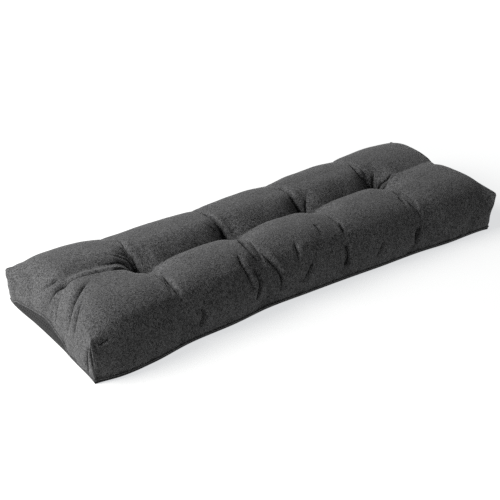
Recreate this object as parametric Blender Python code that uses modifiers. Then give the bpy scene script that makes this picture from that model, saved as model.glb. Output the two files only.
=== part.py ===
"""A tufted bench cushion, lying on its base.

Run with: blender --background --python part.py

Metres, +Z up. The origin is the middle of the underside: +X runs along the cushion, and -Y is its front.
The cushion is one filled solid, a block whose points are moved into the form that the filling, the four tufts
and the creases of the cover give it. The base panel is a sheet of darker cloth under it, turned up to its seam.
"""

from collections import namedtuple

import bmesh
import bpy
import numpy as np

# The real size: a cushion for a bench 48 inches long and 16 inches deep, boxed 4 inches high at its corners.
LENGTH = 1.219
WIDTH = 0.406
BOXED_HEIGHT = 0.100
HALF_LENGTH = LENGTH / 2
HALF_WIDTH = WIDTH / 2

# Cells of the block: in each of the five bays along it, in each half of its depth, and up its sides.
CELLS_PER_BAY = 18
CELLS_PER_HALF = 14
CELLS_UP = 8
CROWDING = 0.45

# The shoulders are round everywhere but at the corners, which stay pointed. The right end's is the crispest.
SHOULDER_DROP = 0.085
SIDE_SHOULDER = 0.110
LEFT_SHOULDER = 0.080
RIGHT_SHOULDER = 0.045
RIGHT_DROP = 0.045
ROUND = 0.27
CORNER_ROUND = 0.02
CORNER_ALONG = 24
CORNER_ACROSS = 8
FOOT_RADIUS = 0.014
FOOT_ROUND = 0.20

# How far the front and the back of the cushion lie from its long middle line, at the foot and at the shoulder,
# and how far the filling lifts the front and the back row of lobes above the boxed height.
Outline = namedtuple("Outline", "x front_foot front_top back front_loft back_loft")
OUTLINE = [
    Outline(-0.610, -0.213, -0.203, 0.204, 0.036, 0.034),
    Outline(-0.560, -0.226, -0.212, 0.206, 0.042, 0.037),
    Outline(-0.460, -0.224, -0.214, 0.204, 0.045, 0.038),
    Outline(-0.360, -0.208, -0.206, 0.189, 0.043, 0.036),
    Outline(-0.220, -0.202, -0.203, 0.187, 0.047, 0.036),
    Outline(-0.120, -0.192, -0.194, 0.185, 0.044, 0.036),
    Outline(0.000, -0.194, -0.198, 0.194, 0.045, 0.035),
    Outline(0.122, -0.197, -0.196, 0.196, 0.040, 0.034),
    Outline(0.240, -0.202, -0.202, 0.207, 0.038, 0.034),
    Outline(0.366, -0.205, -0.200, 0.210, 0.035, 0.034),
    Outline(0.470, -0.214, -0.208, 0.217, 0.035, 0.034),
    Outline(0.540, -0.214, -0.209, 0.217, 0.031, 0.031),
    Outline(0.610, -0.214, -0.210, 0.217, 0.019, 0.020),
]

# The same for the two ends, and how high the base panel turns up them to its seam.
EndOutline = namedtuple("EndOutline", "y left_foot left_top right_foot right_top left_seam right_seam")
END_OUTLINE = [
    EndOutline(-0.203, -0.612, -0.612, 0.582, 0.612, 0.008, 0.008),
    EndOutline(-0.110, -0.612, -0.612, 0.584, 0.610, 0.008, 0.014),
    EndOutline(-0.084, -0.611, -0.611, 0.584, 0.609, 0.009, 0.022),
    EndOutline(-0.072, -0.610, -0.610, 0.583, 0.608, 0.024, 0.028),
    EndOutline(-0.020, -0.609, -0.609, 0.582, 0.606, 0.034, 0.038),
    EndOutline(0.028, -0.609, -0.610, 0.584, 0.610, 0.042, 0.036),
    EndOutline(0.080, -0.610, -0.611, 0.586, 0.614, 0.035, 0.026),
    EndOutline(0.160, -0.613, -0.615, 0.590, 0.614, 0.023, 0.012),
    EndOutline(0.180, -0.612, -0.616, 0.592, 0.614, 0.010, 0.009),
    EndOutline(0.203, -0.608, -0.616, 0.592, 0.614, 0.008, 0.008),
]
SIDE_SEAM = 0.008
SEAM_STEP = 0.0024

# The base panel is a sheet, and the filled solid is set in above it by more than the sheet's thickness.
SHEET = 0.0020
INSET = 0.0028

# The tufts, and how deep the broad trough and the narrow crease start that run from each over both long sides.
Tuft = namedtuple("Tuft", "x back_trough back_crease front_trough front_crease")
TUFTS = [
    Tuft(-0.367, 0.010, 0.019, 0.012, 0.013),
    Tuft(-0.110, 0.011, 0.021, 0.015, 0.015),
    Tuft(0.132, 0.011, 0.021, 0.010, 0.010),
    Tuft(0.375, 0.010, 0.019, 0.011, 0.011),
]
TUFT_DEPTH = 0.078
TUFT_REACH = 0.105
TUFT_POWER = 2.4
TUFT_SKEW = 0.5
TROUGH_WIDTH = 0.085
CREASE_WIDTH = 0.028

# The creases from the tufts lean a little to the left as they go back and as they come forward.
# The cells lean with them.
BACK_LEAN = -0.07
FRONT_LEAN = 0.08

# A crease runs over the block's surface through the points of its path, deepest where it starts.
Crease = namedtuple("Crease", "name start_depth end_depth width path")
CREASE_POWER = 2.0
CREASE_FADE = 0.6
BLEND = 3
CREASE_FOOT = 0.030


def lean(y):
    """How far right of its tuft a crease runs at this depth."""
    return np.where(y > 0, BACK_LEAN, FRONT_LEAN) * y


def main_creases():
    """The long valley through the tufts, and the creases that run from each tuft over both long sides."""
    top = BOXED_HEIGHT
    end = HALF_LENGTH
    first, last = TUFTS[0].x, TUFTS[3].x
    leftward = [(first, 0, top), (-0.44, 0.018, top), (-0.51, 0.028, top), (-0.57, 0.01, top)]
    leftward += [(-end, -0.01, top), (-end, 0.005, 0.03)]
    creases = [
        Crease("valley", 0.040, 0.040, 0.072, [(first, 0, top), (last, 0, top)]),
        Crease("valley left", 0.030, 0.003, 0.048, leftward),
        Crease("valley right", 0.036, 0.006, 0.070, [(last, 0, top), (end, 0, top)]),
    ]
    for tuft in TUFTS:
        for side, trough, crease in (
            (1, tuft.back_trough, tuft.back_crease),
            (-1, tuft.front_trough, tuft.front_crease),
        ):
            edge_x = tuft.x + lean(side * HALF_WIDTH)
            path = [(tuft.x, 0, top), (edge_x, side * HALF_WIDTH, top), (edge_x, side * HALF_WIDTH, 0.01)]
            creases.append(Crease("trough", trough, 0.002, TROUGH_WIDTH, path))
            creases.append(Crease("crease", crease, 0.001, CREASE_WIDTH, path))
    return creases


def distance_to_path(points, path):
    """Each point's distance from a path, and how far along it the nearest place lies, from 0 to 1."""
    path = np.array(path, float)
    steps = np.diff(path, axis=0)
    lengths = np.linalg.norm(steps, axis=1)
    starts = np.concatenate([[0], np.cumsum(lengths)])
    nearest = np.full(len(points), np.inf)
    along = np.zeros(len(points))
    for start, step, length, before in zip(path, steps, lengths, starts):
        share = np.clip((points - start) @ step / length**2, 0, 1)
        distance = np.linalg.norm(points - start - share[:, None] * step, axis=1)
        closer = distance < nearest
        nearest[closer] = distance[closer]
        along[closer] = (before + share[closer] * length) / starts[-1]
    return nearest, along


def eased(table, across, name, value):
    """A smooth line through one column of a table, against another of its columns."""
    knots = np.array([getattr(row, across) for row in table])
    heights = np.array([getattr(row, name) for row in table])
    slopes = np.gradient(heights, knots)
    cell = np.clip(np.searchsorted(knots, value) - 1, 0, len(knots) - 2)
    width = knots[cell + 1] - knots[cell]
    s = np.clip((value - knots[cell]) / width, 0, 1)
    return (
        heights[cell] * (2 * s**3 - 3 * s**2 + 1)
        + slopes[cell] * width * (s**3 - 2 * s**2 + s)
        + heights[cell + 1] * (3 * s**2 - 2 * s**3)
        + slopes[cell + 1] * width * (s**3 - s**2)
    )


def rounded(edge, rise, roundness):
    """How far a point of a square edge pulls in and down to make it round, as shares of the rounded zone."""
    power = (1 - roundness) / roundness
    return edge * roundness * rise**power, rise * roundness * edge**power


def zone(distance, reach):
    """0 inside, rising to 1 at the block's face over the last reach before it."""
    return np.clip(1 + distance / reach, 0, 1)


def seam_height(x, y):
    """How high the base panel's seam runs above the floor."""
    left = np.interp(y, [row.y for row in END_OUTLINE], [row.left_seam for row in END_OUTLINE])
    right = np.interp(y, [row.y for row in END_OUTLINE], [row.right_seam for row in END_OUTLINE])
    return np.where(x < -HALF_LENGTH + 1e-4, left, np.where(x > HALF_LENGTH - 1e-4, right, SIDE_SEAM))


def filled_form(block):
    """Moves points of the block's surface to the smooth filled form."""
    x, y, z = block.T
    u, v, t = x / HALF_LENGTH, y / HALF_WIDTH, z / BOXED_HEIGHT
    corner = np.abs(u) ** CORNER_ALONG * np.abs(v) ** CORNER_ACROSS
    roundness = ROUND + (CORNER_ROUND - ROUND) * corner
    side_in, side_down = rounded(zone(abs(y) - HALF_WIDTH, SIDE_SHOULDER), t, roundness)
    end_shoulder = np.where(x > 0, RIGHT_SHOULDER, LEFT_SHOULDER)
    end_in, end_down = rounded(zone(abs(x) - HALF_LENGTH, end_shoulder), t, roundness)
    end_down *= np.where(x > 0, RIGHT_DROP / SHOULDER_DROP, 1)
    foot = zone(-z, FOOT_RADIUS)
    foot_roundness = FOOT_ROUND * (1 - 0.9 * corner)
    foot_side_in, foot_side_up = rounded(zone(abs(y) - HALF_WIDTH, FOOT_RADIUS), foot, foot_roundness)
    foot_end_in, foot_end_up = rounded(zone(abs(x) - HALF_LENGTH, FOOT_RADIUS), foot, foot_roundness)
    front = (1 - t) * eased(OUTLINE, "x", "front_foot", x) + t * eased(OUTLINE, "x", "front_top", x)
    back = eased(OUTLINE, "x", "back", x)
    left = (1 - t) * eased(END_OUTLINE, "y", "left_foot", y) + t * eased(END_OUTLINE, "y", "left_top", y)
    right = (1 - t) * eased(END_OUTLINE, "y", "right_foot", y) + t * eased(END_OUTLINE, "y", "right_top", y)
    new_x = left + (right - left) * (u + 1) / 2
    new_x -= np.sign(x) * (end_shoulder * end_in + FOOT_RADIUS * foot_end_in)
    new_y = front + (back - front) * (v + 1) / 2
    new_y -= np.sign(y) * (SIDE_SHOULDER * side_in + FOOT_RADIUS * foot_side_in)
    front_loft, back_loft = eased(OUTLINE, "x", "front_loft", x), eased(OUTLINE, "x", "back_loft", x)
    height = BOXED_HEIGHT + (front_loft + (back_loft - front_loft) * np.clip(v + 0.5, 0, 1)) * (1 - corner)
    new_z = t * height - SHOULDER_DROP * (side_down + end_down - side_down * end_down)
    new_z += FOOT_RADIUS * (foot_side_up + foot_end_up - foot_side_up * foot_end_up)
    return np.stack([new_x, new_y, new_z], axis=1)


def pressed_in(block, creases):
    """How deep the tufts and the creases press each point of the block in, the deepest counting most."""
    total = np.zeros(len(block))
    on_top = zone(block[:, 2] - BOXED_HEIGHT, BOXED_HEIGHT / 2)
    for tuft in TUFTS:
        distance = np.hypot(block[:, 0] - tuft.x, block[:, 1])
        near = np.clip(1 - distance / TUFT_REACH, 0, 1)
        power = TUFT_POWER + TUFT_SKEW * block[:, 1] / np.maximum(distance, 1e-6)
        total += (TUFT_DEPTH * near**power * on_top) ** BLEND
    for crease in creases:
        distance, along = distance_to_path(block, crease.path)
        deep = crease.start_depth + (crease.end_depth - crease.start_depth) * along**CREASE_FADE
        total += (deep * np.clip(1 - distance / crease.width, 0, 1) ** CREASE_POWER) ** BLEND
    return total ** (1 / BLEND) * np.clip(block[:, 2] / CREASE_FOOT, 0, 1)


def crowded(start, end, count):
    """Cuts between two lines of the block, closer together near each of them."""
    shares = [i / count for i in range(1, count + 1)]
    return [start + (end - start) * (s - CROWDING * np.sin(2 * np.pi * s) / (2 * np.pi)) for s in shares]


def scored_block():
    """A block cut into cells on all its faces."""
    mesh = bmesh.new()
    bmesh.ops.create_cube(mesh, size=1.0)
    bmesh.ops.scale(mesh, vec=(LENGTH, WIDTH, BOXED_HEIGHT), verts=mesh.verts)
    bmesh.ops.translate(mesh, vec=(0, 0, BOXED_HEIGHT / 2), verts=mesh.verts)
    lines = [-HALF_LENGTH] + [tuft.x for tuft in TUFTS] + [HALF_LENGTH]
    along = [x for a, b in zip(lines, lines[1:]) for x in crowded(a, b, CELLS_PER_BAY)]
    across = crowded(-HALF_WIDTH, 0, CELLS_PER_HALF) + crowded(0, HALF_WIDTH, CELLS_PER_HALF)
    up = [BOXED_HEIGHT * i / CELLS_UP for i in range(1, CELLS_UP)]
    cuts = [((x, 0, 0), (1, 0, 0)) for x in along[:-1]]
    cuts += [((0, y, 0), (0, 1, 0)) for y in across[:-1]]
    cuts += [((0, 0, z), (0, 0, 1)) for z in up]
    for place, normal in cuts:
        everything = mesh.verts[:] + mesh.edges[:] + mesh.faces[:]
        bmesh.ops.bisect_plane(mesh, geom=everything, plane_co=place, plane_no=normal)
    return mesh


def laid_out(mesh):
    """The block's points, and each one's row, counted up from the floor.

    The lower rows are set to the seam, and the cells lean with the creases.
    """
    block = np.array([vertex.co for vertex in mesh.verts])
    rows = np.rint(block[:, 2] / BOXED_HEIGHT * CELLS_UP).astype(int)
    seam = seam_height(block[:, 0], block[:, 1])
    above = seam + (BOXED_HEIGHT - seam) * (rows - 3) / (CELLS_UP - 3)
    low_rows = [rows == 0, rows == 1, rows == 2, rows == 3]
    heights = np.select(low_rows, [0, seam / 2, seam - SEAM_STEP, seam], above)
    block[:, 2] = np.where(rows == CELLS_UP, BOXED_HEIGHT, heights)
    block[:, 0] += lean(block[:, 1]) * (1 - (block[:, 0] / HALF_LENGTH) ** 4)
    return block, rows


def formed_cover():
    """The whole outside of the cushion and its base panel, and each point's row up from the floor."""
    mesh = scored_block()
    block, rows = laid_out(mesh)
    for vertex, place in zip(mesh.verts, filled_form(block)):
        vertex.co = place
    mesh.normal_update()
    for vertex, depth in zip(mesh.verts, pressed_in(block, main_creases())):
        vertex.co -= vertex.normal * depth
    mesh.normal_update()
    places = np.array([vertex.co for vertex in mesh.verts])
    middle = (places.min(axis=0) + places.max(axis=0)) / 2
    bmesh.ops.translate(mesh, vec=(-middle[0], -middle[1], 0), verts=mesh.verts)
    return mesh, rows


def join_flat_base(mesh):
    """Joins the flat cells of the underside into one face."""
    lowest = min(vertex.co.z for vertex in mesh.verts)
    flat = [face for face in mesh.faces if all(vertex.co.z < lowest + 1e-6 for vertex in face.verts)]
    bmesh.ops.dissolve_faces(mesh, faces=flat, use_verts=False)


def add_object(name, mesh, material, collection):
    data = bpy.data.meshes.new(name)
    mesh.to_mesh(data)
    mesh.free()
    data.shade_smooth()
    data.materials.append(material)
    made = bpy.data.objects.new(name, data)
    collection.objects.link(made)
    return made


def fabric(name, colour):
    material = bpy.data.materials.new(name)
    material.use_nodes = True
    shader = material.node_tree.nodes["Principled BSDF"]
    shader.inputs["Base Color"].default_value = (*colour, 1)
    shader.inputs["Roughness"].default_value = 0.9
    shader.inputs["Metallic"].default_value = 0.0
    return material


def make_cushion(collection):
    """The filled solid: below the seam it is set in, to leave room for the base panel."""
    mesh, rows = formed_cover()
    for vertex, row in zip(mesh.verts, rows):
        if row <= 2:
            vertex.co -= vertex.normal * INSET * vertex.calc_shell_factor()
    mesh.normal_update()
    join_flat_base(mesh)
    return add_object("cushion", mesh, fabric("charcoal heather", (0.11, 0.11, 0.11)), collection)


def make_base_panel(collection):
    """The sheet under the filled solid, from its underside up to the seam."""
    mesh, rows = formed_cover()
    high = [vertex for vertex, row in zip(mesh.verts, rows) if row > 2]
    bmesh.ops.delete(mesh, geom=high, context="VERTS")
    join_flat_base(mesh)
    panel = add_object("base_panel", mesh, fabric("dotted base cloth", (0.03, 0.03, 0.035)), collection)
    solidify = panel.modifiers.new("sheet", "SOLIDIFY")
    solidify.thickness = SHEET
    solidify.offset = -1
    solidify.use_even_offset = True
    return panel


def main():
    for old in list(bpy.data.objects):
        bpy.data.objects.remove(old)
    collection = bpy.data.collections.new("bench cushion")
    bpy.context.scene.collection.children.link(collection)
    make_cushion(collection)
    make_base_panel(collection)


main()
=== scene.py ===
"""The looks of the tufted bench cushion: its woven cover, folds, seams, stitches and dotted base cloth.

Metres, +Z up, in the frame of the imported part. +X runs along the cushion, and -Y is its front.
"""

import math
from collections import namedtuple

import bmesh
import bpy
import numpy as np
from mathutils import Matrix, Vector, noise
from mathutils.bvhtree import BVHTree
from mathutils.kdtree import KDTree


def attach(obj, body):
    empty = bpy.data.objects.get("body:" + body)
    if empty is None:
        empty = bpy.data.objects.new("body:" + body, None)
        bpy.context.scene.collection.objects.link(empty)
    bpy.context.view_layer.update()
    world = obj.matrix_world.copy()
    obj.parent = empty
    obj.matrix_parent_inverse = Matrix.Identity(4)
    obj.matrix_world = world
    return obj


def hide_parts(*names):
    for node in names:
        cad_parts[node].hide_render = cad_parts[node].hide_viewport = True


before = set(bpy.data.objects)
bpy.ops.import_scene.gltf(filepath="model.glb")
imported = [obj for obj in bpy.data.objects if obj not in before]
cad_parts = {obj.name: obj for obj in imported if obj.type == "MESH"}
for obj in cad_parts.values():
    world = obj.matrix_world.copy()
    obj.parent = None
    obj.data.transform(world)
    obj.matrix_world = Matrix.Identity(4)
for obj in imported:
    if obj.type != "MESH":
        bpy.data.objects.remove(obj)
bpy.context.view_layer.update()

# The real size, and the form that the filling gives it, as in the part.
LENGTH = 1.219
WIDTH = 0.406
BOXED_HEIGHT = 0.100
HALF_LENGTH = LENGTH / 2
HALF_WIDTH = WIDTH / 2
CELLS_PER_BAY = 28
CELLS_PER_HALF = 21
CELLS_UP = 14
SEAM_ROW = 3
CROWDING = 0.45
SHOULDER_DROP = 0.085
SIDE_SHOULDER = 0.110
LEFT_SHOULDER = 0.080
RIGHT_SHOULDER = 0.045
RIGHT_DROP = 0.045
ROUND = 0.27
CORNER_ROUND = 0.02
CORNER_ALONG = 24
CORNER_ACROSS = 8
FOOT_RADIUS = 0.014
FOOT_ROUND = 0.20
CORNER_FOOT_SHARPNESS = 0.9

Outline = namedtuple("Outline", "x front_foot front_top back front_loft back_loft")
OUTLINE = [
    Outline(-0.610, -0.213, -0.203, 0.204, 0.036, 0.034),
    Outline(-0.560, -0.226, -0.212, 0.206, 0.042, 0.037),
    Outline(-0.460, -0.224, -0.214, 0.204, 0.045, 0.038),
    Outline(-0.360, -0.208, -0.206, 0.189, 0.043, 0.036),
    Outline(-0.220, -0.202, -0.203, 0.187, 0.047, 0.036),
    Outline(-0.120, -0.192, -0.194, 0.185, 0.044, 0.036),
    Outline(0.000, -0.194, -0.198, 0.194, 0.045, 0.035),
    Outline(0.122, -0.197, -0.196, 0.196, 0.040, 0.034),
    Outline(0.240, -0.202, -0.202, 0.207, 0.038, 0.034),
    Outline(0.366, -0.205, -0.200, 0.210, 0.035, 0.034),
    Outline(0.470, -0.214, -0.208, 0.217, 0.035, 0.034),
    Outline(0.540, -0.214, -0.209, 0.217, 0.031, 0.031),
    Outline(0.610, -0.214, -0.210, 0.217, 0.019, 0.020),
]
EndOutline = namedtuple("EndOutline", "y left_foot left_top right_foot right_top left_seam right_seam")
END_OUTLINE = [
    EndOutline(-0.203, -0.612, -0.612, 0.582, 0.612, 0.008, 0.008),
    EndOutline(-0.110, -0.612, -0.612, 0.584, 0.610, 0.008, 0.014),
    EndOutline(-0.084, -0.611, -0.611, 0.584, 0.609, 0.009, 0.022),
    EndOutline(-0.072, -0.610, -0.610, 0.583, 0.608, 0.024, 0.028),
    EndOutline(-0.020, -0.609, -0.609, 0.582, 0.606, 0.034, 0.038),
    EndOutline(0.028, -0.609, -0.610, 0.584, 0.610, 0.042, 0.036),
    EndOutline(0.080, -0.610, -0.611, 0.586, 0.614, 0.035, 0.026),
    EndOutline(0.160, -0.613, -0.615, 0.590, 0.614, 0.023, 0.012),
    EndOutline(0.180, -0.612, -0.616, 0.592, 0.614, 0.010, 0.009),
    EndOutline(0.203, -0.608, -0.616, 0.592, 0.614, 0.008, 0.008),
]
SIDE_SEAM = 0.008
SEAM_STEP = 0.0024
SHEET = 0.0020
INSET = 0.0028

Tuft = namedtuple("Tuft", "x back_trough back_crease front_trough front_crease")
TUFTS = [
    Tuft(-0.367, 0.010, 0.019, 0.012, 0.013),
    Tuft(-0.110, 0.011, 0.021, 0.015, 0.015),
    Tuft(0.132, 0.011, 0.021, 0.010, 0.010),
    Tuft(0.375, 0.010, 0.019, 0.011, 0.011),
]
TUFT_DEPTH = 0.078
TUFT_REACH = 0.105
TUFT_POWER = 2.4
TUFT_SKEW = 0.5
TROUGH_WIDTH = 0.085
CREASE_WIDTH = 0.028
BACK_LEAN = -0.07
FRONT_LEAN = 0.08
LEAN_FADE = 4
CREASE_POWER = 2.0
CREASE_FADE = 0.6
BLEND = 3
CREASE_FOOT = 0.030
Crease = namedtuple("Crease", "name start_depth end_depth width path")

# The folds of the cover, on its surface in the part's own metres. Each is a narrow groove with a raised lip
# beside it: the lip lies to the left of the way the path runs when its height is above 0, and to the right
# when it is below.
Fold = namedtuple("Fold", "name start_depth end_depth width lip path")
FOLDS = [
    Fold("T1 back", 0.0039, 0.0026, 0.010, -0.0012, [
        (-0.366, 0.005, 0.070), (-0.362, 0.034, 0.107), (-0.365, 0.059, 0.122), (-0.362, 0.089, 0.128),
        (-0.365, 0.116, 0.128),
    ]),
    Fold("T1 back left", 0.0028, 0.0007, 0.009, 0.0010, [
        (-0.366, 0.005, 0.070), (-0.374, 0.042, 0.112), (-0.400, 0.060, 0.129), (-0.412, 0.094, 0.134),
    ]),
    Fold("T1 back fan", 0.0018, 0.0006, 0.007, 0.0005, [
        (-0.366, 0.005, 0.070), (-0.379, 0.033, 0.107), (-0.413, 0.046, 0.129), (-0.442, 0.060, 0.138),
    ]),
    Fold("T1 left", 0.0030, 0.0006, 0.009, 0.0006, [
        (-0.366, 0.005, 0.070), (-0.400, 0.024, 0.112), (-0.445, 0.027, 0.128), (-0.477, 0.036, 0.131),
    ]),
    Fold("T2 back", 0.008, 0.006, 0.010, -0.0014, [
        (-0.109, 0.005, 0.070), (-0.110, 0.038, 0.108), (-0.113, 0.060, 0.119), (-0.113, 0.090, 0.123),
        (-0.115, 0.123, 0.124),
    ]),
    Fold("T2 back left", 0.003, 0.001, 0.008, 0.0008, [
        (-0.109, 0.005, 0.070), (-0.123, 0.028, 0.102), (-0.143, 0.045, 0.124), (-0.157, 0.060, 0.133),
    ]),
    Fold("T3 back", 0.0068, 0.0043, 0.010, -0.0014, [
        (0.133, 0.005, 0.070), (0.125, 0.042, 0.105), (0.122, 0.055, 0.115), (0.126, 0.086, 0.122),
        (0.129, 0.116, 0.123),
    ]),
    Fold("T3 back right", 0.0034, 0.0008, 0.010, -0.0010, [
        (0.133, 0.005, 0.070), (0.148, 0.029, 0.095), (0.161, 0.043, 0.111), (0.170, 0.054, 0.121),
    ]),
    Fold("T4 back", 0.0068, 0.0043, 0.010, -0.0014, [
        (0.376, 0.005, 0.070), (0.362, 0.041, 0.097), (0.352, 0.063, 0.119), (0.360, 0.097, 0.127),
        (0.370, 0.130, 0.124),
    ]),
    Fold("T4 back right", 0.0043, 0.0008, 0.010, -0.0010, [
        (0.376, 0.005, 0.070), (0.383, 0.035, 0.088), (0.395, 0.046, 0.104), (0.412, 0.062, 0.120),
    ]),
    Fold("T4 right back", 0.0051, 0.0008, 0.012, -0.0012, [
        (0.376, 0.005, 0.070), (0.399, 0.021, 0.089), (0.421, 0.015, 0.106), (0.450, 0.024, 0.120),
    ]),
    Fold("T4 right", 0.004, 0.001, 0.008, 0.0010, [
        (0.376, 0.005, 0.070), (0.430, 0.005, 0.110), (0.448, -0.014, 0.124), (0.466, -0.028, 0.130),
        (0.494, -0.041, 0.133),
    ]),
    Fold("T4 front", 0.0085, 0.0034, 0.010, 0.0015, [
        (0.344, -0.081, 0.131), (0.347, -0.100, 0.131), (0.350, -0.128, 0.127), (0.351, -0.150, 0.118),
        (0.359, -0.168, 0.100), (0.361, -0.179, 0.084),
    ]),
    Fold("T4 front short", 0.0051, 0.0017, 0.007, 0.0012, [
        (0.335, -0.114, 0.131), (0.335, -0.133, 0.127), (0.331, -0.152, 0.119),
    ]),
    Fold("T4 foot", 0.0068, 0.0034, 0.010, 0.0015, [
        (0.347, -0.184, 0.073), (0.340, -0.189, 0.058), (0.330, -0.196, 0.029),
    ]),
    Fold("T4 foot left", 0.0034, 0.0017, 0.009, 0.0012, [
        (0.224, -0.189, 0.071), (0.211, -0.193, 0.052), (0.195, -0.194, 0.035),
    ]),
    Fold("T2 front", 0.0102, 0.0034, 0.009, -0.0021, [
        (-0.135, -0.069, 0.135), (-0.144, -0.107, 0.140), (-0.144, -0.137, 0.133), (-0.137, -0.161, 0.112),
    ]),
    Fold("T2 front right", 0.0068, 0.0051, 0.010, 0.0021, [
        (-0.119, -0.129, 0.132), (-0.114, -0.153, 0.121), (-0.103, -0.166, 0.103), (-0.092, -0.175, 0.084),
        (-0.089, -0.181, 0.064), (-0.096, -0.185, 0.043), (-0.105, -0.186, 0.028),
    ]),
    Fold("T2 front left", 0.0051, 0.0034, 0.010, 0.0015, [
        (-0.180, -0.125, 0.142), (-0.187, -0.154, 0.131), (-0.184, -0.170, 0.113), (-0.178, -0.181, 0.085),
        (-0.178, -0.188, 0.055),
    ]),
    Fold("T2 front low", 0.0051, 0.0102, 0.010, -0.0024, [
        (-0.170, -0.163, 0.122), (-0.158, -0.170, 0.104), (-0.152, -0.178, 0.082), (-0.159, -0.185, 0.058),
        (-0.173, -0.190, 0.033),
    ]),
    Fold("T1 front", 0.0085, 0.0060, 0.011, -0.0021, [
        (-0.366, -0.089, 0.135), (-0.370, -0.121, 0.136), (-0.371, -0.147, 0.131), (-0.368, -0.166, 0.121),
        (-0.357, -0.181, 0.100),
    ]),
    Fold("T1 front low", 0.0045, 0.0030, 0.012, 0.0018, [
        (-0.335, -0.188, 0.085), (-0.320, -0.193, 0.067), (-0.326, -0.197, 0.050), (-0.342, -0.200, 0.031),
    ]),
    Fold("T3 front left", 0.0044, 0.0024, 0.010, 0.0012, [
        (-0.029, -0.147, 0.132), (-0.032, -0.166, 0.114), (-0.036, -0.176, 0.093),
    ]),
    Fold("T3 front", 0.0051, 0.0017, 0.008, -0.0012, [
        (0.054, -0.119, 0.140), (0.057, -0.136, 0.135), (0.058, -0.153, 0.126),
    ]),
    Fold("T3 front right", 0.0044, 0.0024, 0.008, -0.0012, [
        (0.126, -0.128, 0.130), (0.123, -0.147, 0.122), (0.115, -0.162, 0.109),
    ]),
    Fold("T3 front low", 0.0034, 0.0085, 0.010, 0.0021, [
        (0.114, -0.167, 0.100), (0.115, -0.178, 0.077), (0.112, -0.185, 0.053), (0.099, -0.188, 0.036),
    ]),
    Fold("T3 foot", 0.0034, 0.0017, 0.009, 0.0012, [
        (0.003, -0.181, 0.082), (-0.013, -0.186, 0.062), (-0.035, -0.188, 0.040),
    ]),
    Fold("end", 0.006, 0.003, 0.009, -0.0014, [
        (-0.366, 0.005, 0.070), (-0.438, -0.024, 0.135), (-0.469, -0.017, 0.141), (-0.512, -0.009, 0.141),
        (-0.544, -0.000, 0.135), (-0.572, 0.009, 0.119), (-0.588, 0.015, 0.103), (-0.600, 0.020, 0.073),
        (-0.604, 0.019, 0.047),
    ]),
    Fold("end second", 0.0030, 0.0050, 0.011, -0.0016, [
        (-0.507, -0.033, 0.142), (-0.533, -0.048, 0.142), (-0.559, -0.062, 0.136), (-0.579, -0.073, 0.123),
        (-0.593, -0.081, 0.104), (-0.602, -0.083, 0.077), (-0.608, -0.083, 0.045),
    ]),
    Fold("end third", 0.0015, 0.0030, 0.009, -0.0010, [
        (-0.555, -0.087, 0.139), (-0.574, -0.098, 0.128), (-0.590, -0.109, 0.112), (-0.600, -0.114, 0.090),
        (-0.607, -0.121, 0.060),
    ]),
    Fold("corner hollow", 0.0045, 0.0040, 0.014, 0.0000, [
        (-0.606, -0.190, 0.094), (-0.609, -0.184, 0.074), (-0.611, -0.180, 0.050), (-0.611, -0.181, 0.020),
        (-0.611, -0.183, 0.004),
    ]),
    Fold("end low left", 0.0020, 0.0020, 0.009, 0.0008, [
        (-0.585, -0.003, 0.101), (-0.596, -0.010, 0.080), (-0.603, -0.025, 0.055),
    ]),
    Fold("corner ear", 0.0030, 0.0010, 0.010, 0.0000, [
        (-0.594, -0.198, 0.086), (-0.576, -0.197, 0.089), (-0.557, -0.197, 0.092),
    ]),
    Fold("end upper", 0.0026, 0.0013, 0.008, -0.0012, [
        (-0.554, 0.027, 0.130), (-0.580, 0.037, 0.119), (-0.596, 0.060, 0.093),
    ]),
]

# Out of sight, each tuft gathers the back of the cover into two short folds, and the right end has three.
# Each runs down over three places.
HiddenFold = namedtuple("HiddenFold", "shift depth top foot")
BACK_FOLDS = [
    HiddenFold(-0.022, 0.0035, 0.118, 0.050),
    HiddenFold(0.017, 0.0028, 0.105, 0.030),
]
RIGHT_END_FOLDS = [
    HiddenFold(-0.105, 0.0026, 0.100, 0.045),
    HiddenFold(0.012, 0.0038, 0.104, 0.034),
    HiddenFold(0.096, 0.0024, 0.100, 0.055),
]
HIDDEN_WIDTH = 0.010
HIDDEN_LIP = 0.0012
BACK_SPREAD = 0.3
BACK_SWAY = (0, 0.006, -0.004)
BACK_Y = (0.17, 0.19, 0.20)
RIGHT_END_X = (0.585, 0.605, 0.60)
RIGHT_END_SPREAD = (1, 1.1, 1)


def hidden_fold(name, row, xs, ys):
    heights = (row.top, (row.top + row.foot) / 2, row.foot)
    return Fold(name, row.depth, row.depth / 2, HIDDEN_WIDTH, HIDDEN_LIP, list(zip(xs, ys, heights)))


def hidden_folds():
    folds = []
    for number, tuft in enumerate(TUFTS):
        for row in BACK_FOLDS:
            x = tuft.x + row.shift * (1 + BACK_SPREAD * number)
            folds.append(hidden_fold("back", row, [x + sway for sway in BACK_SWAY], BACK_Y))
    for row in RIGHT_END_FOLDS:
        ys = [row.shift * spread for spread in RIGHT_END_SPREAD]
        folds.append(hidden_fold("right end", row, RIGHT_END_X, ys))
    return folds


# The valley's way over the top from the first tuft to the left end, and where it ends on that end's face.
VALLEY_LEFT = [(-0.44, 0.018), (-0.51, 0.028), (-0.57, 0.01), (-HALF_LENGTH, -0.01)]
VALLEY_FOOT = (-HALF_LENGTH, 0.005, 0.03)
TROUGH_END = 0.002
CREASE_END = 0.001
CREASE_LOWEST = 0.01


def lean(y):
    """How far right of its tuft a crease runs at this depth."""
    return np.where(y > 0, BACK_LEAN, FRONT_LEAN) * y


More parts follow.
